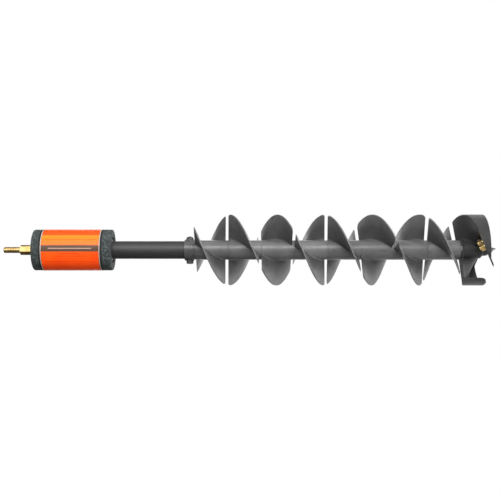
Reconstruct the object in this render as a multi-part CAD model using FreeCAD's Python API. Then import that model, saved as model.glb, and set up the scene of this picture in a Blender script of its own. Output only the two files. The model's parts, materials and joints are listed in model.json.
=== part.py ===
import FreeCAD, Part
import math
import os

# Ice auger for a cordless drill, in millimetres. +Z points up along the shaft, towards the drill,
# and the cutting end points down. The origin is on the shaft axis, at the base of the drill shank.
# Angles are degrees about +Z, counted from +X towards +Y. The screw is right-handed.

Vector = FreeCAD.Vector
UP = Vector(0, 0, 1)
CENTRE = Vector(0, 0, 0)

# ---- driving dimensions -------------------------------------------------------------------------
# drill end
SHANK_RADIUS = 6.35
SHANK_LENGTH = 35.5
SHANK_FLAT_WIDTH = 2.4
SHANK_FLAT_ANGLE = 43.0
HEX_ACROSS_FLATS = 19.0
HEX_LENGTH = 25.9
HEX_CORNER_ANGLE = 13.0
FLANGE_RADIUS = 23.0
FLANGE_THICKNESS = 3.0
SPIGOT_LENGTH = 50.0
ADAPTER_PIN_DROP = 30.0
CROSS_PIN_RADIUS = 3.0
PIN_CLEARANCE = 0.05

# shaft tube
TUBE_RADIUS = 19.05
TUBE_BORE_RADIUS = 17.4
SPIGOT_CLEARANCE = 0.05

# float
FLOAT_RADIUS = 44.0
FLOAT_LENGTH = 168.0
FLOAT_BORE_CLEARANCE = 0.3
FLOAT_END_GAP = 0.3
LABEL_MARGIN = 19.5
LABEL_LENGTH = 127.0
LABEL_THICKNESS = 0.65
FLOAT_TOP_WASHER_RADIUS = 30.0
FLOAT_WASHER_THICKNESS = 1.5
FLOAT_RECESS_RADIUS = 27.0
FLOAT_RECESS_DEPTH = 5.0
RETAINING_RING_RADIUS = 22.0
RETAINING_RING_THICKNESS = 1.6
RING_GROOVE_RADIUS = 18.3

# flight modules
MODULE_COUNT = 8
MODULE_LENGTH = 70.75
MODULE_TWIST = 125.0
FLIGHT_RADIUS = 76.2
FLIGHT_LENGTH = 64.85
LAST_FLIGHT_TRIM = 4.6
FLIGHT_CORNER_RADIUS = 5.0
FLIGHT_EDGE_THICKNESS = 3.4
FLIGHT_ROOT_THICKNESS = 10.0
HUB_RADIUS = 21.0
HUB_BORE_RADIUS = 19.15
MODULES_TOP_Z = -375.2
SCREW_ZERO_Z = -448.2
DOG_COUNT = 4
DOG_HEIGHT = 3.0
DOG_ANGLE = 24.0
DOG_CLEARANCE = 0.15
SCREW_DOG_ANGLE = 20.0

# drive collar
COLLAR_RADIUS = 23.0
COLLAR_LENGTH = 20.0
COLLAR_NECK = 2.6
COLLAR_BOLT_DROP = 11.0
COLLAR_BOSS_RADIUS = 8.2
COLLAR_SEAT = 23.3
BOLT_RADIUS = 4.0
BOLT_CLEARANCE = 0.2
BOLT_HEAD_RADIUS = 7.4
BOLT_HEAD_HEIGHT = 4.9
NUT_ACROSS_FLATS = 13.0
COLLAR_NUT_HEIGHT = 5.0
WASHER_RADIUS = 7.9
WASHER_THICKNESS = 1.2

# cutting head
HEAD_NECK_RADIUS = 18.8
HEAD_NOSE_RADIUS = 12.0
HEAD_NOSE_Z = -1001.2
HEAD_SPIGOT_LENGTH = 36.0
HEAD_PIN_RISE = 20.0
RIM_Z = -990.3
WING_START = 35.0
WING_TOP_Z = -936.1
WING_TOP_LEAD = 117.0
WING_UNDER_Z = -941.6
WING_UNDER_LEAD = 155.0
WING_TURN = 103.0
WING_ROOT_DROP = 6.0
WING_ROOT_THICKENING = 3.4
WING_ROOT_FAIRING = 2.4
WING_CORE_RADIUS = 15.0
SKIRT_THICKNESS = 5.2
SKIRT_CORNER_RADIUS = 13.0
TOE_START = -59.5
TOE_END = -115.0
TOE_HEIGHT = 19.5
BLADE_EDGE_ANGLE = -120.0
BLADE_EDGE_Z = -997.9
BLADE_SLOPE = 25.5
BLADE_THICKNESS = 3.0
BLADE_INNER_RADIUS = 22.0
BLADE_BACK_ANGLE = -61.0
BLADE_RELIEF = 6.0
BLADE_GAP = 0.1
BLADE_BOLT_OFFSET = 38.0
BLADE_BOLT_REACHES = (32.5, 52.0)
BLADE_BOLT_RADIUS = 3.9
BLADE_BOLT_HEAD_RADIUS = 6.6
BLADE_BOLT_HEAD_HEIGHT = 2.4
BLADE_BOLT_GRIP = 5.6
BLADE_BOLT_END = 2.4
BLADE_NUT_HEIGHT = 7.2
COUNTERBORE_DEPTH = 12.4
PILOT_TIP_Z = -1020.3
PILOT_TIP_OFFSET = 2.6
PILOT_WIDTH = 13.0
PILOT_THICKNESS = 3.0
PILOT_INSET = 26.0
PILOT_SHOULDER = 8.0
PILOT_NOTCH = 14.0
PILOT_ANGLE = 25.0
PILOT_PIN_RADIUS = 2.0
PILOT_PIN_LENGTH = 34.0
PILOT_PIN_RISE = 18.0

# ---- derived heights ----------------------------------------------------------------------------
FLANGE_Z = -HEX_LENGTH
TUBE_TOP_Z = FLANGE_Z - FLANGE_THICKNESS
FLOAT_TOP_Z = TUBE_TOP_Z - FLOAT_WASHER_THICKNESS - FLOAT_END_GAP
FLOAT_BOTTOM_Z = FLOAT_TOP_Z - FLOAT_LENGTH
RECESS_Z = FLOAT_BOTTOM_Z + FLOAT_RECESS_DEPTH
LOWER_WASHER_Z = RECESS_Z - FLOAT_END_GAP
RETAINING_RING_Z = LOWER_WASHER_Z - FLOAT_WASHER_THICKNESS
COLLAR_TOP_Z = MODULES_TOP_Z + COLLAR_NECK + COLLAR_LENGTH
COLLAR_BOLT_Z = COLLAR_TOP_Z - COLLAR_BOLT_DROP
HEAD_TOP_Z = MODULES_TOP_Z - MODULE_COUNT * MODULE_LENGTH
ADAPTER_PIN_Z = TUBE_TOP_Z - ADAPTER_PIN_DROP
HEAD_PIN_Z = HEAD_TOP_Z + HEAD_PIN_RISE
PILOT_PIN_Z = HEAD_NOSE_Z + PILOT_PIN_RISE
SCREW_LEAD = MODULE_LENGTH * 360.0 / MODULE_TWIST


# ---- simple solids ------------------------------------------------------------------------------
def rod(radius, z_low, z_high):
    """A cylinder on the shaft axis."""
    return Part.makeCylinder(radius, z_high - z_low, Vector(0, 0, z_low), UP)


def ring(outer, inner, z_low, z_high):
    """A tube or washer on the shaft axis."""
    return rod(outer, z_low, z_high).cut(rod(inner, z_low - 1, z_high + 1))


def cross_rod(radius, x_low, x_high, z):
    """A cylinder along X that crosses the shaft axis at height z."""
    return Part.makeCylinder(radius, x_high - x_low, Vector(x_low, 0, z), Vector(1, 0, 0))


def hexagon_prism(across_flats, height, first_corner):
    """A hexagonal prism standing on the XY plane; first_corner is the angle of one corner."""
    corner_radius = across_flats / math.sqrt(3)
    corners = []
    for side in range(7):
        angle = math.radians(first_corner + 60 * side)
        corners.append(Vector(corner_radius * math.cos(angle), corner_radius * math.sin(angle), 0))
    return Part.Face(Part.makePolygon(corners)).extrude(Vector(0, 0, height))


def turned(points, angle=360.0, start=0.0):
    """A solid of revolution from (radius, z) points, over an angle that begins at start."""
    corners = [Vector(radius, 0, z) for radius, z in points]
    corners.append(corners[0])
    face = Part.Face(Part.makePolygon(corners))
    face.rotate(CENTRE, UP, start)
    return face.revolve(CENTRE, UP, angle)


def sector(inner, outer, z_low, z_high, start, end):
    """Part of a ring, from the start angle to the end angle."""
    box = [(inner, z_low), (outer, z_low), (outer, z_high), (inner, z_high)]
    return turned(box, end - start, start)


def spun(shape, angle):
    """A copy of the shape, turned about the shaft axis."""
    copy = shape.copy()
    copy.rotate(CENTRE, UP, angle)
    return copy


def twisted(section, start, turn, steps):
    """A solid through radial sections. section(angle) gives (radius, z) points at each angle."""
    wires = []
    for step in range(steps + 1):
        angle = start + turn * step / steps
        cosine = math.cos(math.radians(angle))
        sine = math.sin(math.radians(angle))
        corners = [Vector(radius * cosine, radius * sine, z) for radius, z in section(angle)]
        corners.append(corners[0])
        wires.append(Part.makePolygon(corners))
    return Part.makeLoft(wires, True, False)


# ---- drill end ----------------------------------------------------------------------------------
def drill_shank_adapter():
    """Round shank with three chuck flats, hexagon, flange and the spigot inside the tube."""
    shank = turned([
        (0, -1),
        (SHANK_RADIUS, -1),
        (SHANK_RADIUS, SHANK_LENGTH - 1.2),
        (SHANK_RADIUS - 1.2, SHANK_LENGTH),
        (0, SHANK_LENGTH),
    ])
    flat_depth = math.sqrt(SHANK_RADIUS ** 2 - (SHANK_FLAT_WIDTH / 2) ** 2)
    for flat in range(3):
        cutter = Part.makeBox(4, 10, SHANK_LENGTH, Vector(flat_depth, -5, 3))
        shank = shank.cut(spun(cutter, SHANK_FLAT_ANGLE + 120 * flat))
    hexagon = hexagon_prism(HEX_ACROSS_FLATS, HEX_LENGTH, HEX_CORNER_ANGLE)
    hexagon.translate(Vector(0, 0, FLANGE_Z))
    rounding = turned([
        (0, FLANGE_Z - 1),
        (12, FLANGE_Z - 1),
        (12, -1.2),
        (HEX_ACROSS_FLATS / 2 - 0.3, 0),
        (0, 0),
    ])
    flange = rod(FLANGE_RADIUS, TUBE_TOP_Z, FLANGE_Z)
    spigot_radius = TUBE_BORE_RADIUS - SPIGOT_CLEARANCE
    spigot = turned([
        (0, TUBE_TOP_Z + 1),
        (spigot_radius, TUBE_TOP_Z + 1),
        (spigot_radius, TUBE_TOP_Z - SPIGOT_LENGTH + 2),
        (spigot_radius - 2, TUBE_TOP_Z - SPIGOT_LENGTH),
        (0, TUBE_TOP_Z - SPIGOT_LENGTH),
    ])
    lightening = rod(9, TUBE_TOP_Z - SPIGOT_LENGTH - 1, TUBE_TOP_Z - 12)
    body = shank.fuse([hexagon.common(rounding), flange, spigot]).cut(lightening)
    return body.cut(adapter_cross_pin(PIN_CLEARANCE))


def adapter_cross_pin(clearance=0.0):
    """Pin through the tube and the adapter's spigot, under the float."""
    reach = TUBE_RADIUS - 0.2 + clearance
    return cross_rod(CROSS_PIN_RADIUS + clearance, -reach, reach, ADAPTER_PIN_Z)


def shaft_tube():
    """Steel tube from the adapter's flange to the cutting head."""
    tube = ring(TUBE_RADIUS, TUBE_BORE_RADIUS, HEAD_TOP_Z, TUBE_TOP_Z)
    groove_low = RETAINING_RING_Z - RETAINING_RING_THICKNESS - 0.1
    groove = ring(TUBE_RADIUS + 1, RING_GROOVE_RADIUS, groove_low, RETAINING_RING_Z + 0.1)
    past = TUBE_RADIUS + 10
    holes = [
        groove,
        cross_rod(CROSS_PIN_RADIUS + PIN_CLEARANCE, -past, past, ADAPTER_PIN_Z),
        cross_rod(CROSS_PIN_RADIUS + PIN_CLEARANCE, -past, past, HEAD_PIN_Z),
        cross_rod(BOLT_RADIUS + BOLT_CLEARANCE, -past, past, COLLAR_BOLT_Z),
    ]
    for hole in holes:
        tube = tube.cut(hole)
    return tube


# ---- float --------------------------------------------------------------------------------------
def float_core():
    """Closed-cell foam cylinder, with a shallow seat for the label and a recess at its lower end."""
    bore = TUBE_RADIUS + FLOAT_BORE_CLEARANCE
    label_top = FLOAT_TOP_Z - LABEL_MARGIN
    label_low = label_top - LABEL_LENGTH
    seat = FLOAT_RADIUS - LABEL_THICKNESS
    edge = 1.6
    return turned([
        (bore, RECESS_Z),
        (FLOAT_RECESS_RADIUS, RECESS_Z),
        (FLOAT_RECESS_RADIUS, FLOAT_BOTTOM_Z),
        (FLOAT_RADIUS - edge, FLOAT_BOTTOM_Z),
        (FLOAT_RADIUS, FLOAT_BOTTOM_Z + edge),
        (FLOAT_RADIUS, label_low),
        (seat, label_low),
        (seat, label_top),
        (FLOAT_RADIUS, label_top),
        (FLOAT_RADIUS, FLOAT_TOP_Z - edge),
        (FLOAT_RADIUS - edge, FLOAT_TOP_Z),
        (bore, FLOAT_TOP_Z),
    ])


def label_sleeve():
    """Printed film sleeve round the middle of the float."""
    top = FLOAT_TOP_Z - LABEL_MARGIN - 0.1
    low = FLOAT_TOP_Z - LABEL_MARGIN - LABEL_LENGTH + 0.1
    return ring(FLOAT_RADIUS + 0.1, FLOAT_RADIUS - LABEL_THICKNESS + 0.05, low, top)


def float_top_washer():
    """Large washer between the adapter's flange and the float."""
    return ring(FLOAT_TOP_WASHER_RADIUS, HUB_BORE_RADIUS, TUBE_TOP_Z - FLOAT_WASHER_THICKNESS, TUBE_TOP_Z)


def float_lower_washer():
    """Washer inside the float's lower recess."""
    return ring(FLOAT_RECESS_RADIUS - 1.5, HUB_BORE_RADIUS, RETAINING_RING_Z, LOWER_WASHER_Z)


def float_retaining_ring():
    """Open spring ring in the tube's groove, which carries the float."""
    low = RETAINING_RING_Z - RETAINING_RING_THICKNESS
    opening = 40.0
    inner = RING_GROOVE_RADIUS + 0.1
    return sector(inner, RETAINING_RING_RADIUS, low, RETAINING_RING_Z, 90, 450 - opening)


# ---- crown joint between hubs -------------------------------------------------------------------
def dogs(z_base, first_angle, growth=0.0):
    """Driving dogs that point down from z_base. growth makes the matching notches."""
    shapes = []
    half = DOG_ANGLE / 2 + growth / HUB_RADIUS * 180 / math.pi
    for dog in range(DOG_COUNT):
        middle = first_angle + dog * 360.0 / DOG_COUNT
        low = z_base - DOG_HEIGHT - growth
        inner = HUB_BORE_RADIUS - growth * 4
        outer = HUB_RADIUS + growth * 4
        shapes.append(sector(inner, outer, low, z_base + 0.5, middle - half, middle + half))
    return shapes


# ---- drive collar -------------------------------------------------------------------------------
def drive_collar():
    """Ribbed collar bolted through the tube; its dogs drive the first flight module."""
    low = COLLAR_TOP_Z - COLLAR_LENGTH
    neck_low = MODULES_TOP_Z + 0.1
    groove_depth = 1.0
    inner = HUB_BORE_RADIUS
    profile = [(inner, low), (COLLAR_RADIUS, low)]
    rib_count = 6
    rib_pitch = COLLAR_LENGTH / rib_count
    for rib in range(rib_count):
        base = low + rib * rib_pitch
        profile.append((COLLAR_RADIUS, base + rib_pitch * 0.62))
        profile.append((COLLAR_RADIUS - groove_depth, base + rib_pitch * 0.7))
        profile.append((COLLAR_RADIUS - groove_depth, base + rib_pitch * 0.92))
        profile.append((COLLAR_RADIUS, base + rib_pitch))
    profile.pop()
    profile.append((COLLAR_RADIUS - groove_depth, COLLAR_TOP_Z))
    profile.append((inner, COLLAR_TOP_Z))
    collar = turned(profile)
    neck = ring(HUB_RADIUS - 0.5, inner, neck_low, low + 0.5)
    boss = cross_rod(COLLAR_BOSS_RADIUS, -COLLAR_SEAT, COLLAR_SEAT, COLLAR_BOLT_Z)
    collar = collar.fuse([neck, boss] + dogs(neck_low, SCREW_DOG_ANGLE))
    collar = collar.cut(rod(inner, low - 10, COLLAR_TOP_Z + 1))
    past = COLLAR_SEAT + 5
    return collar.cut(cross_rod(BOLT_RADIUS + BOLT_CLEARANCE, -past, past, COLLAR_BOLT_Z))


def collar_bolt():
    """Round-headed bolt across the collar; its head is on the +X side."""
    seat = COLLAR_SEAT + WASHER_THICKNESS
    tip = -(seat + COLLAR_NUT_HEIGHT + 0.6)
    rim = 2.0
    rise = BOLT_HEAD_HEIGHT - rim
    head = Part.makeCylinder(BOLT_HEAD_RADIUS, rim, CENTRE, UP)
    dome_radius = (BOLT_HEAD_RADIUS ** 2 + rise ** 2) / (2 * rise)
    dome = Part.makeSphere(dome_radius, Vector(0, 0, BOLT_HEAD_HEIGHT - dome_radius))
    dome = dome.common(Part.makeCylinder(BOLT_HEAD_RADIUS, BOLT_HEAD_HEIGHT, Vector(0, 0, rim), UP))
    head = head.fuse(dome)
    head.rotate(CENTRE, Vector(0, 1, 0), 90)
    head.translate(Vector(seat, 0, COLLAR_BOLT_Z))
    return head.fuse(cross_rod(BOLT_RADIUS, tip, seat + 1, COLLAR_BOLT_Z))


def collar_washers():
    """One washer under the bolt's head and one under its nut."""
    washers = []
    for x_low in (COLLAR_SEAT, -COLLAR_SEAT - WASHER_THICKNESS):
        disc = cross_rod(WASHER_RADIUS, x_low, x_low + WASHER_THICKNESS, COLLAR_BOLT_Z)
        washers.append(disc.cut(cross_rod(BOLT_RADIUS + 0.15, -40, 40, COLLAR_BOLT_Z)))
    return Part.makeCompound(washers)


def hex_nut(bore, height):
    """Hexagon nut standing on the XY plane, with its corners chamfered on both faces."""
    corner = NUT_ACROSS_FLATS / math.sqrt(3)
    chamfer = 0.6
    rounding = turned([
        (0, 0),
        (NUT_ACROSS_FLATS / 2, 0),
        (corner, chamfer),
        (corner, height - chamfer),
        (NUT_ACROSS_FLATS / 2, height),
        (0, height),
    ])
    nut = hexagon_prism(NUT_ACROSS_FLATS, height, 0).common(rounding)
    return nut.cut(Part.makeCylinder(bore, height + 2, Vector(0, 0, -1), UP))


def collar_nut():
    """Nut on the -X side of the collar."""
    nut = hex_nut(BOLT_RADIUS + 0.02, COLLAR_NUT_HEIGHT)
    nut.rotate(CENTRE, Vector(0, 1, 0), -90)
    nut.translate(Vector(-COLLAR_SEAT - WASHER_THICKNESS, 0, COLLAR_BOLT_Z))
    return nut


# ---- flight modules -----------------------------------------------------------------------------
def flight_section(angle, offset):
    """Outline of one screw flight at an angle; offset is the angle between the two starts."""
    middle = SCREW_ZERO_Z + (angle - offset) * SCREW_LEAD / 360.0
    root = FLIGHT_ROOT_THICKNESS / 2
    edge = FLIGHT_EDGE_THICKNESS / 2
    half = [
        (HUB_RADIUS - 1.1, root),
        (HUB_RADIUS + 1.1, root * 0.66),
        (HUB_RADIUS + 3.5, root * 0.48),
        (HUB_RADIUS + 9.0, edge + 0.5),
        (FLIGHT_RADIUS - 1.0, edge),
        (FLIGHT_RADIUS, edge - 0.8),
    ]
    upper = [(radius, middle + rise) for radius, rise in half]
    lower = [(radius, middle - rise) for radius, rise in reversed(half)]
    return upper + lower


def flight_envelope(top, bottom):
    """Turned block that trims a flight to its length and rounds its outer corners."""
    corner = FLIGHT_CORNER_RADIUS
    outer = FLIGHT_RADIUS + 0.01
    low = bottom + corner
    high = top - corner
    bend = corner * math.sqrt(0.5)
    middle = outer - corner
    edges = [
        Part.makeLine(Vector(10, 0, bottom), Vector(middle, 0, bottom)),
        Part.Arc(
            Vector(middle, 0, bottom), Vector(middle + bend, 0, low - bend), Vector(outer, 0, low)
        ).toShape(),
        Part.makeLine(Vector(outer, 0, low), Vector(outer, 0, high)),
        Part.Arc(
            Vector(outer, 0, high), Vector(middle + bend, 0, high + bend), Vector(middle, 0, top)
        ).toShape(),
        Part.makeLine(Vector(middle, 0, top), Vector(10, 0, top)),
        Part.makeLine(Vector(10, 0, top), Vector(10, 0, bottom)),
    ]
    return Part.Face(Part.Wire(edges)).revolve(CENTRE, UP, 360)


def flight_module(trim):
    """The first module: a hub with two flights. trim shortens the flights at their lower end."""
    top = MODULES_TOP_Z
    bottom = top - FLIGHT_LENGTH + trim
    hub_low = top - MODULE_LENGTH + 0.1
    chamfer = 0.5
    hub = turned([
        (HUB_BORE_RADIUS, hub_low),
        (HUB_RADIUS - chamfer, hub_low),
        (HUB_RADIUS, hub_low + chamfer),
        (HUB_RADIUS, top - chamfer),
        (HUB_RADIUS - chamfer, top),
        (HUB_BORE_RADIUS, top),
    ])
    hub = hub.fuse(dogs(hub_low, SCREW_DOG_ANGLE - MODULE_TWIST))
    envelope = flight_envelope(top, bottom)
    margin = FLIGHT_ROOT_THICKNESS
    flights = []
    for offset in (0.0, 180.0):
        start = offset + (bottom - margin - SCREW_ZERO_Z) * 360.0 / SCREW_LEAD
        turn = (top - bottom + 2 * margin) * 360.0 / SCREW_LEAD
        blank = twisted(lambda angle: flight_section(angle, offset), start, turn, 18)
        flights.append(blank.common(envelope))
    module = hub.fuse(flights).cut(rod(HUB_BORE_RADIUS, hub_low - 10, top + 10))
    for notch in dogs(top, SCREW_DOG_ANGLE, DOG_CLEARANCE):
        module = module.cut(notch)
    return module


def flight_modules():
    """All the modules; each is the one above it, moved down and turned by one twist."""
    full = flight_module(0.0)
    trimmed = flight_module(LAST_FLIGHT_TRIM)
    modules = {}
    for place in range(MODULE_COUNT):
        last = place == MODULE_COUNT - 1
        module = spun(trimmed if last else full, -MODULE_TWIST * place)
        module.translate(Vector(0, 0, -MODULE_LENGTH * place))
        modules["flight_module_%d" % (place + 1)] = module
    return modules


# ---- cutting head -------------------------------------------------------------------------------
def wing_section(angle):
    """L-shaped outline of one wing: the flight, and the skirt wall that hangs from its outer edge."""
    swept = WING_START - angle
    top = WING_TOP_Z - swept * WING_TOP_LEAD / 360.0
    under = WING_UNDER_Z - swept * WING_UNDER_LEAD / 360.0
    drop = 1.0 + (WING_ROOT_DROP - 1.0) * swept / WING_TURN
    root_top = top - drop
    root_under = max(under - drop - WING_ROOT_THICKENING, RIM_Z + 2)
    inner_wall = FLIGHT_RADIUS - SKIRT_THICKNESS
    fairing = HEAD_NECK_RADIUS + 1.5
    root = HEAD_NECK_RADIUS + 5
    round_off = 2.2
    return [
        (WING_CORE_RADIUS, root_top + WING_ROOT_FAIRING),
        (fairing, root_top + WING_ROOT_FAIRING),
        (root, root_top),
        (FLIGHT_RADIUS - round_off, top),
        (FLIGHT_RADIUS - 0.65, top - 0.65),
        (FLIGHT_RADIUS, top - round_off),
        (FLIGHT_RADIUS, RIM_Z),
        (inner_wall, RIM_Z),
        (inner_wall, under - 2.5),
        (inner_wall - 2.5, under),
        (root, root_under),
        (WING_CORE_RADIUS, root_under),
    ]


def above_blade(offset):
    """Everything above a plane parallel to the blade's sloping upper face, offset from that face."""
    size = 200.0
    box = Part.makeBox(size, 2 * size, size, Vector(-size / 2, -size, offset))
    box.rotate(CENTRE, Vector(1, 0, 0), BLADE_SLOPE)
    box.translate(Vector(0, 0, BLADE_EDGE_Z))
    return spun(box, BLADE_EDGE_ANGLE)


def skirt_corner():
    """Cutter that rounds the skirt's lower corner at the wing's start."""
    radius = SKIRT_CORNER_RADIUS
    past = 5.0
    inner = FLIGHT_RADIUS - 2 * SKIRT_THICKNESS
    size = radius + past
    block = Part.makeBox(20, size, size, Vector(inner, -radius, -past))
    block = block.cut(Part.makeCylinder(radius, 40, Vector(inner - past, -radius, radius), Vector(1, 0, 0)))
    block.translate(Vector(0, 0, RIM_Z))
    return spun(block, WING_START)


def head_wing():
    """One wing: twisted flight with its skirt, and the toe that carries the blade."""
    flight = twisted(wing_section, WING_START, -WING_TURN, 14)
    toe = sector(WING_CORE_RADIUS, FLIGHT_RADIUS, RIM_Z, RIM_Z + TOE_HEIGHT, TOE_END, TOE_START)
    pocket = sector(
        WING_CORE_RADIUS - 5,
        FLIGHT_RADIUS + 5,
        RIM_Z - 5,
        WING_TOP_Z,
        TOE_END - 5,
        BLADE_BACK_ANGLE,
    )
    wing = flight.fuse(toe).cut(above_blade(-BLADE_THICKNESS).common(pocket))
    module_room = rod(HUB_RADIUS + 0.4, HEAD_TOP_Z, HEAD_TOP_Z + 20)
    return wing.cut(module_room).cut(skirt_corner())


def cutting_head():
    """Moulded head: spigot in the tube, hub, two wings and the slot for the pilot point."""
    spigot_radius = TUBE_BORE_RADIUS - SPIGOT_CLEARANCE
    spigot_top = HEAD_TOP_Z + HEAD_SPIGOT_LENGTH
    nose_chamfer = 1.5
    spigot_chamfer = 2.0
    hub = turned([
        (0, HEAD_NOSE_Z),
        (HEAD_NOSE_RADIUS - nose_chamfer, HEAD_NOSE_Z),
        (HEAD_NOSE_RADIUS, HEAD_NOSE_Z + nose_chamfer),
        (HEAD_NOSE_RADIUS + 1, RIM_Z),
        (HEAD_NECK_RADIUS - 0.8, RIM_Z + 5),
        (HEAD_NECK_RADIUS, HEAD_TOP_Z - 7),
        (HUB_RADIUS, HEAD_TOP_Z - 4.5),
        (HUB_RADIUS, HEAD_TOP_Z),
        (spigot_radius, HEAD_TOP_Z),
        (spigot_radius, spigot_top - spigot_chamfer),
        (spigot_radius - spigot_chamfer, spigot_top),
        (0, spigot_top),
    ])
    wing = head_wing()
    head = hub.fuse([wing, spun(wing, 180)])
    for notch in dogs(HEAD_TOP_Z, SCREW_DOG_ANGLE - MODULE_TWIST * MODULE_COUNT, DOG_CLEARANCE):
        head = head.cut(notch)
    head = head.cut(head_cross_pin(PIN_CLEARANCE))
    head = head.cut(pilot_point(PIN_CLEARANCE))
    head = head.cut(pilot_pin(PIN_CLEARANCE))
    for bolt in blade_bolts(0, BOLT_CLEARANCE) + blade_bolts(180, BOLT_CLEARANCE):
        head = head.cut(bolt)
    return head


def head_cross_pin(clearance=0.0):
    """Pin through the tube and the head's spigot, under the last module."""
    reach = TUBE_RADIUS - 0.2 + clearance
    return cross_rod(CROSS_PIN_RADIUS + clearance, -reach, reach, HEAD_PIN_Z)


def on_blade(shape, reach, turn):
    """Carries a shape from the XY plane to the blade's upper face, over a bolt's place."""
    placed = shape.copy()
    placed.translate(Vector(reach, BLADE_BOLT_OFFSET / math.cos(math.radians(BLADE_SLOPE)), 0))
    placed.rotate(CENTRE, Vector(1, 0, 0), BLADE_SLOPE)
    placed.translate(Vector(0, 0, BLADE_EDGE_Z))
    return spun(placed, BLADE_EDGE_ANGLE + turn)


def cutting_blade(turn):
    """Flat steel blade with a ground cutting edge, seated on the wing's toe."""
    outline = sector(
        BLADE_INNER_RADIUS,
        FLIGHT_RADIUS - BLADE_GAP,
        BLADE_EDGE_Z - 20,
        WING_TOP_Z,
        BLADE_EDGE_ANGLE,
        BLADE_BACK_ANGLE - 0.3,
    )
    blade = outline.common(above_blade(BLADE_GAP - BLADE_THICKNESS)).cut(above_blade(0))
    relief = Part.makeBox(200, 100, 40, Vector(-100, -20, -40))
    relief.rotate(CENTRE, Vector(1, 0, 0), BLADE_RELIEF)
    relief.translate(Vector(0, 0, BLADE_EDGE_Z))
    blade = blade.cut(spun(relief, BLADE_EDGE_ANGLE))
    hole = Part.makeCylinder(BLADE_BOLT_RADIUS + BOLT_CLEARANCE, 20, Vector(0, 0, -10), UP)
    for reach in BLADE_BOLT_REACHES:
        blade = blade.cut(on_blade(hole, reach, 0))
    return spun(blade, turn)


def blade_bolts(turn, clearance=0.0):
    """Flat-headed bolts from under the toe, up through the blade and its nuts."""
    head_height = BLADE_BOLT_HEAD_HEIGHT
    if clearance > 0:
        head_height = COUNTERBORE_DEPTH
    length = BLADE_BOLT_GRIP + WASHER_THICKNESS + BLADE_NUT_HEIGHT + BLADE_BOLT_END
    head_base = Vector(0, 0, -BLADE_BOLT_GRIP - head_height)
    shank = Part.makeCylinder(BLADE_BOLT_RADIUS + clearance, length, Vector(0, 0, -BLADE_BOLT_GRIP), UP)
    head = Part.makeCylinder(BLADE_BOLT_HEAD_RADIUS + clearance, head_height, head_base, UP)
    bolt = shank.fuse(head)
    return [on_blade(bolt, reach, turn) for reach in BLADE_BOLT_REACHES]


def blade_washers(turn):
    """Washers between the blade and its nuts."""
    disc = Part.makeCylinder(WASHER_RADIUS, WASHER_THICKNESS, CENTRE, UP)
    disc = disc.cut(Part.makeCylinder(BLADE_BOLT_RADIUS + 0.15, 6, Vector(0, 0, -2), UP))
    return Part.makeCompound([on_blade(disc, reach, turn) for reach in BLADE_BOLT_REACHES])


def blade_nuts(turn):
    """Tall locking nuts on the blade's upper face."""
    nut = hex_nut(BLADE_BOLT_RADIUS + 0.02, BLADE_NUT_HEIGHT)
    nut.translate(Vector(0, 0, WASHER_THICKNESS))
    return Part.makeCompound([on_blade(nut, reach, turn) for reach in BLADE_BOLT_REACHES])


def pilot_point(clearance=0.0):
    """Flat spade that keeps the auger centred, set in a slot in the hub's nose."""
    half = PILOT_WIDTH / 2 + clearance
    top = HEAD_NOSE_Z + PILOT_INSET + clearance
    thick = PILOT_THICKNESS / 2 + clearance
    shoulder = HEAD_NOSE_Z - PILOT_SHOULDER
    corners = [
        Vector(-half, -thick, top),
        Vector(half, -thick, top),
        Vector(half, -thick, shoulder),
        Vector(PILOT_TIP_OFFSET, -thick, PILOT_TIP_Z),
        Vector(0, -thick, HEAD_NOSE_Z - PILOT_NOTCH),
        Vector(-half, -thick, shoulder),
    ]
    corners.append(corners[0])
    plate = Part.Face(Part.makePolygon(corners)).extrude(Vector(0, 2 * thick, 0))
    plate = spun(plate, PILOT_ANGLE)
    if clearance == 0.0:
        plate = plate.cut(pilot_pin(PIN_CLEARANCE))
    return plate


def pilot_pin(clearance=0.0):
    """Spring pin that holds the pilot point in the hub."""
    half = PILOT_PIN_LENGTH / 2
    across = Vector(0, 1, 0)
    pin = Part.makeCylinder(PILOT_PIN_RADIUS + clearance, 2 * half, Vector(0, -half, PILOT_PIN_Z), across)
    return spun(pin, PILOT_ANGLE)


# ---- all the nodes ------------------------------------------------------------------------------
def all_nodes():
    nodes = {
        "drill_shank_adapter": drill_shank_adapter(),
        "adapter_cross_pin": adapter_cross_pin(),
        "shaft_tube": shaft_tube(),
        "float_top_washer": float_top_washer(),
        "float_core": float_core(),
        "label_sleeve": label_sleeve(),
        "float_lower_washer": float_lower_washer(),
        "float_retaining_ring": float_retaining_ring(),
        "drive_collar": drive_collar(),
        "collar_bolt": collar_bolt(),
        "collar_washers": collar_washers(),
        "collar_nut": collar_nut(),
        "cutting_head": cutting_head(),
        "head_cross_pin": head_cross_pin(),
        "pilot_point": pilot_point(),
        "pilot_pin": pilot_pin(),
    }
    nodes.update(flight_modules())
    for number, turn in ((1, 0), (2, 180)):
        nodes["cutting_blade_%d" % number] = cutting_blade(turn)
        nodes["blade_bolts_%d" % number] = Part.makeCompound(blade_bolts(turn))
        nodes["blade_washers_%d" % number] = blade_washers(turn)
        nodes["blade_nuts_%d" % number] = blade_nuts(turn)
    return nodes


os.makedirs("parts", exist_ok=True)
for name, shape in all_nodes().items():
    shape.exportStep("parts/%s.step" % name)
    volume = sum(solid.Volume for solid in shape.Solids)
    print("%-22s solids %d, valid %s, volume %.0f" % (name, len(shape.Solids), shape.isValid(), volume))
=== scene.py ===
import json
import math
import random

import bmesh
import bpy
from mathutils import Matrix, Vector


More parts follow.
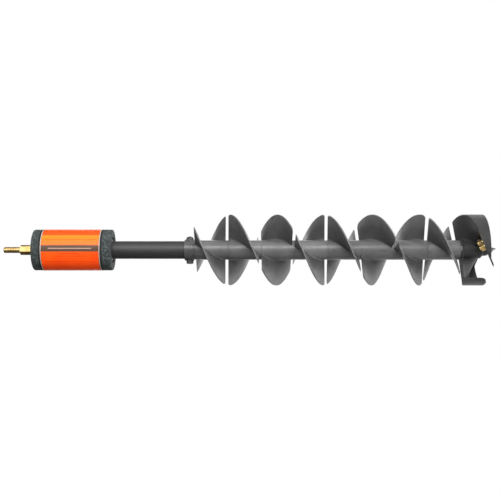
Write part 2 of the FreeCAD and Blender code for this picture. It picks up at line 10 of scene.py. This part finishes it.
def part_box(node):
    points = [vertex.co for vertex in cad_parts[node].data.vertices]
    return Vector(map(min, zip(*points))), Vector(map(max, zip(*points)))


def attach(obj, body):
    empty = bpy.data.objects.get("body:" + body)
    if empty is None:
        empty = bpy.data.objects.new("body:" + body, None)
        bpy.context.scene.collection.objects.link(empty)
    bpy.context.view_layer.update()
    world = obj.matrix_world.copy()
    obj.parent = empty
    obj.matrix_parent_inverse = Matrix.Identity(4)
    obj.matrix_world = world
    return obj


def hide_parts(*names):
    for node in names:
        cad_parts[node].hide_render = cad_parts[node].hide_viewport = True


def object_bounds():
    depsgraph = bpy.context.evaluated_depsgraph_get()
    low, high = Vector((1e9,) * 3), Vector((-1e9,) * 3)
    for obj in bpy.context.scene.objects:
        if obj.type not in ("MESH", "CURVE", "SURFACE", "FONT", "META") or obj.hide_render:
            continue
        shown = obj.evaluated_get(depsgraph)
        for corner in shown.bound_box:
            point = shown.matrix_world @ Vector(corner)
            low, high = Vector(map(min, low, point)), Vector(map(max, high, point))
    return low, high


# Ice auger in metres, in the CAD frame: +Z is the shaft, towards the drill; +X is the collar bolt's
# head side. The camera stands on the -Y side with the shaft lying across the picture.

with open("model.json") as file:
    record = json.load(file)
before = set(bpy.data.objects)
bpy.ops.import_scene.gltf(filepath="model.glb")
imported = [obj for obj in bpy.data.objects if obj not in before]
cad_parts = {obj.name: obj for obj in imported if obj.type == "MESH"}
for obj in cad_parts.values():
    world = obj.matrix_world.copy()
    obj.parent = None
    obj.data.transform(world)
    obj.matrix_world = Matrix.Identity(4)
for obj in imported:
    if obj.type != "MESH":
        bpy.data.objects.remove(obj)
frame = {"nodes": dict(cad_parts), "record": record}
CAD_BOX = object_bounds()
NODES = frame["nodes"]

# radii from the shaft axis, places along it, and the line of the cutting edges in degrees from +X
HUB_RADIUS = 0.021
TUBE_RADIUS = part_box("shaft_tube")[1].x
PILOT_REACH = 0.015
LABEL_LOW, LABEL_HIGH = (corner.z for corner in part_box("label_sleeve"))
END_BAND_WIDTH = 0.0030
BLADE_EDGE_ANGLE = -120.0

# the label's print, in degrees round the float from the -Y side towards +X
BAR = (-4.5, 13.5)
BAR_RULE = (3.3, 5.7)
# where the amber band above the bar ends; that amber, paler upwards, is painted light
AMBER_TOP = 45.0
# each fine rule of the label: its middle, half its width, and its inset as a share of the length
FINE_RULES = ((-10.0, 1.0, 0.36), (-17.0, 0.6, 0.24), (-33.0, 0.5, 0.08), (30.0, 0.5, 0.06))

# light: the world and the floor as seen by the object, and the camera
WORLD_LIGHT = 0.05
FLOOR_LIGHT = 0.75
MIDDLE_Z = (CAD_BOX[0][2] + CAD_BOX[1][2]) / 2
CAMERA_DISTANCE = 1.90
LENS = 63.7


# ---- node helpers -------------------------------------------------------------------------------
class Shader:
    """A material's node tree, with short names for the nodes that the materials share."""

    def __init__(self, name):
        self.material = bpy.data.materials.new(name)
        self.material.use_nodes = True
        self.tree = self.material.node_tree
        self.bsdf = self.tree.nodes["Principled BSDF"]
        self.position = self.node("ShaderNodeTexCoord").outputs["Object"]

    def node(self, kind, **settings):
        made = self.tree.nodes.new(kind)
        for key, value in settings.items():
            setattr(made, key, value)
        return made

    def link(self, source, target):
        self.tree.links.new(source, target)

    def put(self, value, socket):
        """Links value to the socket if it is a socket, or stores it there."""
        if isinstance(value, bpy.types.NodeSocket):
            self.link(value, socket)
        else:
            socket.default_value = value

    def math(self, operation, first, second=0.0, third=0.0):
        made = self.node("ShaderNodeMath", operation=operation)
        self.put(first, made.inputs[0])
        self.put(second, made.inputs[1])
        self.put(third, made.inputs[2])
        return made.outputs[0]

    def stretched(self, scale):
        made = self.node("ShaderNodeMapping")
        self.link(self.position, made.inputs["Vector"])
        made.inputs["Scale"].default_value = scale
        return made.outputs["Vector"]

    def noise(self, scale, detail=3.0, roughness=0.5, vector=None):
        made = self.node("ShaderNodeTexNoise")
        self.link(vector or self.position, made.inputs["Vector"])
        made.inputs["Scale"].default_value = scale
        made.inputs["Detail"].default_value = detail
        made.inputs["Roughness"].default_value = roughness
        return made.outputs["Fac"]

    def cells(self, scale):
        made = self.node("ShaderNodeTexVoronoi")
        self.link(self.position, made.inputs["Vector"])
        made.inputs["Scale"].default_value = scale
        return made.outputs["Distance"]

    def place(self):
        """The x, y and z of the point, as three sockets."""
        split = self.node("ShaderNodeSeparateXYZ")
        self.link(self.position, split.inputs[0])
        return split.outputs

    def axis_distance(self):
        """Distance from the shaft axis."""
        x, y, z = self.place()
        squares = self.math("ADD", self.math("MULTIPLY", x, x), self.math("MULTIPLY", y, y))
        return self.math("SQRT", squares)

    def spread(self, value, low, high, to_low=0.0, to_high=1.0):
        """Maps low..high to to_low..to_high, clamped."""
        made = self.node("ShaderNodeMapRange")
        self.put(value, made.inputs["Value"])
        made.inputs["From Min"].default_value = low
        made.inputs["From Max"].default_value = high
        made.inputs["To Min"].default_value = to_low
        made.inputs["To Max"].default_value = to_high
        return made.outputs["Result"]

    def blend(self, factor, first, second):
        made = self.node("ShaderNodeMix", data_type="RGBA")
        self.put(factor, made.inputs["Factor"])
        self.put(first, made.inputs["A"])
        self.put(second, made.inputs["B"])
        return made.outputs["Result"]

    def bump(self, height, strength, distance):
        made = self.node("ShaderNodeBump")
        made.inputs["Strength"].default_value = strength
        made.inputs["Distance"].default_value = distance
        self.link(height, made.inputs["Height"])
        self.link(made.outputs["Normal"], self.bsdf.inputs["Normal"])

    def set(self, **values):
        for name, value in values.items():
            self.put(value, self.bsdf.inputs[name.replace("_", " ")])
        return self.material


def grey(level):
    return (level, level, level, 1.0)


# ---- materials ----------------------------------------------------------------------------------
def moulded_plastic(name, dark, light, rough, root=None, gloss=0.5):
    """Glass-filled nylon: fine moulded grain, flow clouds and scuffs.

    root is the hub's radius: just outside it the flights get painted shade where the hub and the next
    flights shade them, and painted light that pales them towards the rim.
    """
    s = Shader(name)
    clouds = s.noise(14, 4, 0.6)
    colour = s.blend(s.spread(clouds, 0.3, 0.7), grey(dark), grey(light))
    if root:
        radius = s.axis_distance()
        ragged = s.math("ADD", radius, s.math("MULTIPLY", s.noise(45, 3, 0.6), 0.012))
        # painted shade: the flights darken just outside the hub, where the hub and the neighbouring flights
        # shade them
        shade = s.spread(ragged, root + 0.012, root + 0.058, 0.62, 0.0)
        outside = s.spread(radius, root + 0.0006, root + 0.004)
        colour = s.blend(s.math("MULTIPLY", shade, outside), colour, grey(dark * 0.35))
        # painted light: the flights pale towards the rim, where more light reaches their outer edges
        pale = s.spread(ragged, root + 0.034, root + 0.066, 0.0, 0.5)
        colour = s.blend(pale, colour, grey(light * 1.35))
        smudges = s.noise(32, 4, 0.65, s.stretched((1.0, 1.0, 0.6)))
        colour = s.blend(s.spread(smudges, 0.56, 0.72, 0.0, 0.5), colour, grey(dark * 0.4))
    scuffs = s.noise(130, 5, 0.75, s.stretched((1.0, 1.0, 0.35)))
    colour = s.blend(s.spread(scuffs, 0.62, 0.8, 0.0, 0.22), colour, grey(0.22))
    scratches = s.noise(75, 6, 0.8, s.stretched((0.4, 0.4, 2.4)))
    colour = s.blend(s.spread(scratches, 0.60, 0.68, 0.0, 0.16), colour, grey(0.20))
    roughness = s.spread(s.noise(60, 5, 0.7), 0.25, 0.75, rough - 0.07, rough + 0.09)
    s.bump(s.noise(1500, 2, 0.5), 0.12, 0.0003)
    return s.set(Base_Color=colour, Roughness=roughness, Specular_IOR_Level=gloss)


def painted_tube():
    """Satin black paint on steel, with faint drawing lines along the tube and fine orange peel."""
    s = Shader("painted_tube")
    lines = s.noise(90, 4, 0.6, s.stretched((1.0, 1.0, 0.05)))
    peel = s.noise(700, 2, 0.5)
    colour = s.blend(s.spread(lines, 0.3, 0.7), grey(0.012), grey(0.020))
    rubbed = s.spread(s.noise(35, 6, 0.8), 0.66, 0.76, 0.0, 0.25)
    colour = s.blend(rubbed, colour, grey(0.045))
    roughness = s.spread(lines, 0.2, 0.8, 0.50, 0.62)
    s.bump(peel, 0.10, 0.0002)
    return s.set(Base_Color=colour, Roughness=roughness)


def yellow_zinc():
    """Turned steel with yellow zinc plating: warm gold, with faint iridescent patches."""
    s = Shader("yellow_zinc_steel")
    patches = s.noise(60, 3, 0.6)
    turning = s.noise(500, 3, 0.6, s.stretched((0.05, 0.05, 1.0)))
    gold = s.blend(s.spread(patches, 0.35, 0.65), (0.40, 0.27, 0.10, 1), (0.52, 0.38, 0.17, 1))
    green = s.spread(s.noise(75, 2, 0.5), 0.60, 0.72, 0.0, 0.35)
    colour = s.blend(green, gold, (0.32, 0.34, 0.15, 1))
    rose = s.spread(s.noise(95, 2, 0.5, s.stretched((1.3, 0.8, 1.0))), 0.62, 0.72, 0.0, 0.3)
    colour = s.blend(rose, colour, (0.44, 0.20, 0.13, 1))
    roughness = s.spread(turning, 0.3, 0.7, 0.36, 0.48)
    s.bump(turning, 0.03, 0.0001)
    return s.set(Base_Color=colour, Roughness=roughness, Metallic=1.0)


def blade_steel(edge_angle):
    """Blackened steel with fine rolling lines; ground bright along the cutting edge, grey at the pilot."""
    s = Shader("blade_steel")
    x, y, z = s.place()
    # distance from the line of the cutting edge, which is the same line for both blades
    line = math.radians(edge_angle)
    across = s.math("ADD", s.math("MULTIPLY", x, -math.sin(line)), s.math("MULTIPLY", y, math.cos(line)))
    ragged = s.math("MULTIPLY", s.noise(240, 4, 0.7), 0.0016)
    reach = s.math("ADD", s.math("ABSOLUTE", across), ragged)
    outside = s.spread(s.axis_distance(), PILOT_REACH, PILOT_REACH + 0.002)
    ground = s.math("MULTIPLY", s.spread(reach, 0.0062, 0.0070, 1.0, 0.0), outside)
    lines = s.noise(900, 4, 0.7, s.stretched((1.0, 0.12, 0.5)))
    stains = s.noise(60, 4, 0.6)
    dark = s.blend(s.spread(stains, 0.4, 0.75), grey(0.030), (0.060, 0.052, 0.046, 1))
    dark = s.blend(outside, grey(0.14), dark)
    bright = s.blend(s.spread(lines, 0.3, 0.7), grey(0.50), grey(0.68))
    colour = s.blend(ground, dark, bright)
    roughness = s.spread(lines, 0.25, 0.75, 0.28, 0.44)
    s.bump(lines, 0.15, 0.0002)
    return s.set(Base_Color=colour, Roughness=roughness, Metallic=s.spread(ground, 0.0, 1.0, 0.6, 1.0))


def dark_fasteners():
    """Phosphated steel: nearly black, dull, with a little bright metal showing through."""
    s = Shader("black_fasteners")
    mottled = s.noise(500, 4, 0.7)
    colour = s.blend(s.spread(mottled, 0.35, 0.7), grey(0.05), grey(0.16))
    roughness = s.spread(mottled, 0.3, 0.7, 0.32, 0.5)
    s.bump(mottled, 0.1, 0.0002)
    return s.set(Base_Color=colour, Roughness=roughness, Metallic=0.7)


def pin_steel():
    """Drawn steel with fine lines round the pin."""
    s = Shader("pin_steel")
    lines = s.noise(600, 3, 0.6, s.stretched((0.1, 1.0, 1.0)))
    colour = s.blend(s.spread(lines, 0.3, 0.7), grey(0.42), grey(0.58))
    s.bump(lines, 0.1, 0.0002)
    return s.set(Base_Color=colour, Roughness=s.spread(lines, 0.2, 0.8, 0.25, 0.4), Metallic=1.0)


def closed_cell_foam(label_low, label_high):
    """Charcoal foam: crowded cells, some cut open and darkened inside with painted shade, grey-green specks,
    and a near-black band along each end of the label.
    """
    s = Shader("float_foam")
    cell = s.cells(520)
    fine = s.noise(900, 4, 0.7)
    patches = s.noise(45, 4, 0.6)
    colour = s.blend(s.spread(patches, 0.3, 0.7), (0.014, 0.018, 0.019, 1), (0.034, 0.042, 0.042, 1))
    specks = s.spread(s.noise(210, 5, 0.85), 0.53, 0.62, 0.0, 0.9)
    colour = s.blend(specks, colour, (0.13, 0.16, 0.15, 1))
    shade = s.spread(s.noise(160, 5, 0.85), 0.48, 0.58, 0.0, 0.85)
    colour = s.blend(shade, colour, (0.010, 0.014, 0.015, 1))
    # painted shade: the open cells are darker in their hollows, where shade falls
    painted_pit_shade = s.spread(cell, 0.0, 0.22, 0.65, 0.0)
    colour = s.blend(painted_pit_shade, colour, (0.012, 0.014, 0.014, 1))
    z = s.place()[2]
    below = s.math("SUBTRACT", label_low, z)
    above = s.math("SUBTRACT", z, label_high)
    # a near-black band on the foam along each end of the label
    end_band = s.spread(s.math("MAXIMUM", below, above), END_BAND_WIDTH, END_BAND_WIDTH + 0.0004, 1.0, 0.0)
    colour = s.blend(end_band, colour, grey(0.008))
    height = s.math("ADD", s.spread(cell, 0.0, 0.4), s.math("MULTIPLY", fine, 0.6))
    s.bump(height, 0.55, 0.0008)
    return s.set(Base_Color=colour, Roughness=s.spread(fine, 0.2, 0.8, 0.78, 0.98))


def label_film(low, high):
    """Printed film: red and darker red, a dark bar, fine rules and a pale line at each end; the orange-amber
    band above the bar, paler upwards, is painted light, and the red deepening downwards is painted shade.
    """
    s = Shader("label_film")
    x, y, z = s.place()
    # the angle from the -Y side towards +X, in degrees; the print repeats twice round the float
    angle = s.math("MULTIPLY", s.math("ARCTAN2", x, s.math("MULTIPLY", y, -1.0)), 180 / math.pi)
    angle = s.math("WRAP", angle, 110.0, -70.0)

    def band(value, start, end, soft):
        rise = s.spread(value, start - soft, start + soft)
        fall = s.spread(value, end - soft, end + soft, 1.0, 0.0)
        return s.math("MULTIPLY", rise, fall)

    fade = s.noise(22, 2, 0.5)
    red = s.blend(s.spread(fade, 0.3, 0.7), (0.92, 0.060, 0.002, 1), (0.97, 0.090, 0.003, 1))
    # painted light: above the bar the field turns amber, paler and yellower towards the top, where the light
    # falls
    amber = s.blend(s.spread(angle, 16, 44), (0.82, 0.120, 0.003, 1), (0.88, 0.185, 0.005, 1))
    field = s.blend(band(angle, BAR[1], AMBER_TOP, 1.2), red, amber)
    field = s.blend(s.spread(angle, AMBER_TOP - 1.0, AMBER_TOP + 2.0), field, (0.60, 0.062, 0.002, 1))
    # painted shade: the red deepens towards the bottom
    painted_low_shade = s.spread(angle, -20.0, -62.0, 0.0, 0.30)
    field = s.blend(painted_low_shade, field, (0.80, 0.030, 0.004, 1))
    # fine unlettered rules, three in the lower field and one in the amber field
    for middle, half, inset in FINE_RULES:
        length = (high - low) * inset
        rule = s.math("MULTIPLY", band(angle, middle - half, middle + half, 0.25),
                      band(z, low + length, high - length, 0.0004))
        field = s.blend(s.math("MULTIPLY", rule, 0.8), field, (0.45, 0.014, 0.004, 1))
    bar = band(angle, *BAR, 0.4)
    bar_tone = s.blend(s.noise(160, 4, 0.6), (0.055, 0.026, 0.016, 1), (0.105, 0.060, 0.035, 1))
    pale = band(angle, *BAR_RULE, 0.6)
    pale = s.math("MULTIPLY", pale, band(z, low + 0.018, high - 0.018, 0.001))
    bar_tone = s.blend(s.math("MULTIPLY", pale, 0.6), bar_tone, (0.62, 0.40, 0.33, 1))
    field = s.blend(bar, field, bar_tone)
    for end in (low, high):
        edge_distance = s.math("ABSOLUTE", s.math("SUBTRACT", z, end))
        field = s.blend(s.spread(edge_distance, 0.0030, 0.0034, 1.0, 0.0), field, grey(0.010))
        rule = band(edge_distance, 0.0010, 0.0024, 0.0002)
        field = s.blend(s.math("MULTIPLY", rule, 0.8), field, (0.62, 0.50, 0.44, 1))
    wrinkles = s.noise(60, 3, 0.6, s.stretched((1.0, 1.0, 0.4)))
    s.bump(wrinkles, 0.10, 0.0015)
    roughness = s.spread(s.noise(150, 4, 0.7), 0.3, 0.7, 0.40, 0.52)
    return s.set(Base_Color=field, Roughness=roughness, Specular_IOR_Level=0.25)


MATERIALS = {
    "flight_plastic": moulded_plastic("flight_plastic", 0.066, 0.122, 0.42, HUB_RADIUS),
    "collar_plastic": moulded_plastic("collar_plastic", 0.060, 0.080, 0.40),
    "head_plastic": moulded_plastic("head_plastic", 0.024, 0.038, 0.42, gloss=0.2),
    "painted_tube": painted_tube(),
    "yellow_zinc_steel": yellow_zinc(),
    "blade_steel": blade_steel(BLADE_EDGE_ANGLE),
    "black_fasteners": dark_fasteners(),
    "pin_steel": pin_steel(),
    "float_foam": closed_cell_foam(LABEL_LOW, LABEL_HIGH),
    "label_film": label_film(LABEL_LOW, LABEL_HIGH),
}


def give_material(piece, slot):
    """Leaves the piece with that slot's material only."""
    piece.data.materials.clear()
    piece.data.materials.append(MATERIALS[slot])


def dress_nodes():
    """Gives each CAD node the material of its slot."""
    for row in frame["record"]["subparts"]:
        give_material(NODES[row["node"]], row["material_slot"])


# ---- float --------------------------------------------------------------------------------------
def lathe(name, profile, segments, wobble=None):
    """A closed ring of the (radius, z) profile about the shaft; wobble(angle, radius, z) shifts radii."""
    mesh = bpy.data.meshes.new(name)
    form = bmesh.new()
    rings = []
    for step in range(segments):
        angle = 2 * math.pi * step / segments
        loop = []
        for radius, z in profile:
            reach = radius + (wobble(angle, radius, z) if wobble else 0.0)
            loop.append(form.verts.new((reach * math.cos(angle), reach * math.sin(angle), z)))
        rings.append(loop)
    for step in range(segments):
        here, after = rings[step], rings[(step + 1) % segments]
        for point in range(len(profile)):
            ahead = (point + 1) % len(profile)
            form.faces.new((here[point], after[point], after[ahead], here[ahead]))
    bmesh.ops.recalc_face_normals(form, faces=form.faces)
    for face in form.faces:
        face.smooth = True
    form.to_mesh(mesh)
    form.free()
    piece = bpy.data.objects.new(name, mesh)
    bpy.context.scene.collection.objects.link(piece)
    return piece


def rounded(points, radius, steps=5):
    """The (radius, z) outline with each corner cut by an arc of up to that radius."""
    outline = []
    for place, corner in enumerate(points):
        before = Vector(points[place - 1])
        here = Vector(corner)
        after = Vector(points[(place + 1) % len(points)])
        reach = min(radius, (before - here).length * 0.45, (after - here).length * 0.45)
        start = here + (before - here).normalized() * reach
        end = here + (after - here).normalized() * reach
        for step in range(steps + 1):
            t = step / steps
            outline.append(tuple(start * (1 - t) ** 2 + here * 2 * t * (1 - t) + end * t * t))
    return outline


def float_foam():
    """The foam body: a soft-edged cylinder with a seat for the label and a recess below."""
    low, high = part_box("float_core")
    label_low, label_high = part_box("label_sleeve")
    outer = high.x - 0.0001
    bore = TUBE_RADIUS + 0.0003
    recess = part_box("float_lower_washer")[1].x + 0.0015
    recess_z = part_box("float_lower_washer")[1].z + 0.0003
    seat = label_high.x - 0.0008
    rows = [
        (bore, recess_z),
        (recess, recess_z),
        (recess + 0.0004, low.z),
        (outer, low.z),
        (outer, label_low.z - 0.0002),
        (seat, label_low.z - 0.0002),
        (seat, label_high.z + 0.0002),
        (outer, label_high.z + 0.0002),
        (outer, high.z),
        (bore, high.z),
    ]
    outline = rounded(rows, 0.0030)
    dense = []
    for place, point in enumerate(outline):
        start, end = Vector(point), Vector(outline[(place + 1) % len(outline)])
        pieces = max(1, int((end - start).length / 0.004))
        dense += [tuple(start.lerp(end, step / pieces)) for step in range(pieces)]
    source = random.Random(7)
    waves = [(source.uniform(2, 9), source.uniform(40, 160), source.uniform(0, 6.3)) for _ in range(6)]

    def wobble(angle, radius, z):
        if radius < outer - 0.004:
            return 0.0
        sway = sum(math.sin(round(turns) * angle + pitch * z + phase) for turns, pitch, phase in waves)
        return -0.00012 - 0.00004 * sway

    foam = lathe("float_foam_body", dense, 128, wobble)
    give_material(foam, "float_foam")
    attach(foam, "float")
    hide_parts("float_core")
    return foam


# ---- stage, light and camera --------------------------------------------------------------------
def seen_directly(tree, plain, direct):
    """A mix of two shaders: the second one is only for what the camera sees directly."""
    path = tree.nodes.new("ShaderNodeLightPath")
    mix = tree.nodes.new("ShaderNodeMixShader")
    tree.links.new(path.outputs["Is Camera Ray"], mix.inputs["Fac"])
    tree.links.new(plain, mix.inputs[1])
    tree.links.new(direct, mix.inputs[2])
    return mix.outputs[0]


def plain_floor():
    """White floor just under the pilot point."""
    size = 6.0
    height = CAD_BOX[0][2] - 0.001
    mesh = bpy.data.meshes.new("floor")
    corners = [(-size, -size, height), (size, -size, height), (size, size, height), (-size, size, height)]
    mesh.from_pydata(corners, [], [(0, 1, 2, 3)])
    floor = bpy.data.objects.new("floor", mesh)
    bpy.context.scene.collection.objects.link(floor)
    s = Shader("floor")
    s.set(Base_Color=grey(0.8), Roughness=0.9, Emission_Color=grey(1.0), Emission_Strength=FLOOR_LIGHT)
    white = s.node("ShaderNodeEmission")
    white.inputs["Color"].default_value = grey(1.0)
    surface = seen_directly(s.tree, s.bsdf.outputs[0], white.outputs[0])
    s.link(surface, s.tree.nodes["Material Output"].inputs["Surface"])
    mesh.materials.append(s.material)


def white_world():
    """White backdrop, with a softer white for the light that it gives."""
    world = bpy.data.worlds.new("studio")
    bpy.context.scene.world = world
    world.use_nodes = True
    tree = world.node_tree
    background = tree.nodes["Background"]
    background.inputs["Color"].default_value = grey(1.0)
    background.inputs["Strength"].default_value = WORLD_LIGHT
    backdrop = tree.nodes.new("ShaderNodeBackground")
    backdrop.inputs["Color"].default_value = grey(1.0)
    surface = seen_directly(tree, background.outputs[0], backdrop.outputs[0])
    tree.links.new(surface, tree.nodes["World Output"].inputs["Surface"])


def soft_light(name, place, aim, width, height, power):
    """A soft rectangular lamp; its width lies along the shaft."""
    light = bpy.data.lights.new(name, "AREA")
    light.shape = "RECTANGLE"
    light.size = height
    light.size_y = width
    light.energy = power
    lamp = bpy.data.objects.new(name, light)
    bpy.context.scene.collection.objects.link(lamp)
    lamp.location = place
    lamp.rotation_euler = (Vector(aim) - Vector(place)).to_track_quat("-Z", "Y").to_euler()


def studio_camera():
    """Square to the shaft at mid-length, turned so that the drill end is at the picture's left."""
    data = bpy.data.cameras.new("camera")
    data.sensor_width = 36.0
    data.lens = LENS
    camera = bpy.data.objects.new("camera", data)
    bpy.context.scene.collection.objects.link(camera)
    right, up, back = Vector((0, 0, -1)), Vector((1, 0, 0)), Vector((0, -1, 0))
    turn = Matrix((right, up, back)).transposed().to_4x4()
    camera.matrix_world = Matrix.Translation((0, -CAMERA_DISTANCE, MIDDLE_Z)) @ turn
    bpy.context.scene.camera = camera


def studio():
    """Floor, backdrop and lamps. The key lamp is above the camera, on the +X side."""
    plain_floor()
    white_world()
    centre = (0.0, 0.0, MIDDLE_Z)
    soft_light("key", (1.12, -1.62, MIDDLE_Z), centre, 1.8, 0.6, 56)
    soft_light("top", (1.9, -0.1, MIDDLE_Z + 0.3), centre, 1.6, 0.5, 8)
    soft_light("low", (-1.2, -1.3, MIDDLE_Z - 0.3), centre, 1.3, 0.6, 1)
    soft_light("front", (0.2, -2.4, MIDDLE_Z), centre, 3.0, 1.4, 4)
    soft_light("end", (0.45, -0.8, 0.75), (0.0, 0.0, -0.4), 0.8, 0.8, 7)
    soft_light("rear", (-0.7, 2.0, MIDDLE_Z), centre, 1.8, 1.0, 14)
    soft_light("back", (0.7, 1.9, MIDDLE_Z), centre, 1.8, 1.0, 18)
    bpy.context.scene.view_settings.view_transform = "Standard"
    bpy.context.scene.view_settings.look = "None"


# ---- the scene ----------------------------------------------------------------------------------
studio_camera()
studio()
dress_nodes()
float_foam()
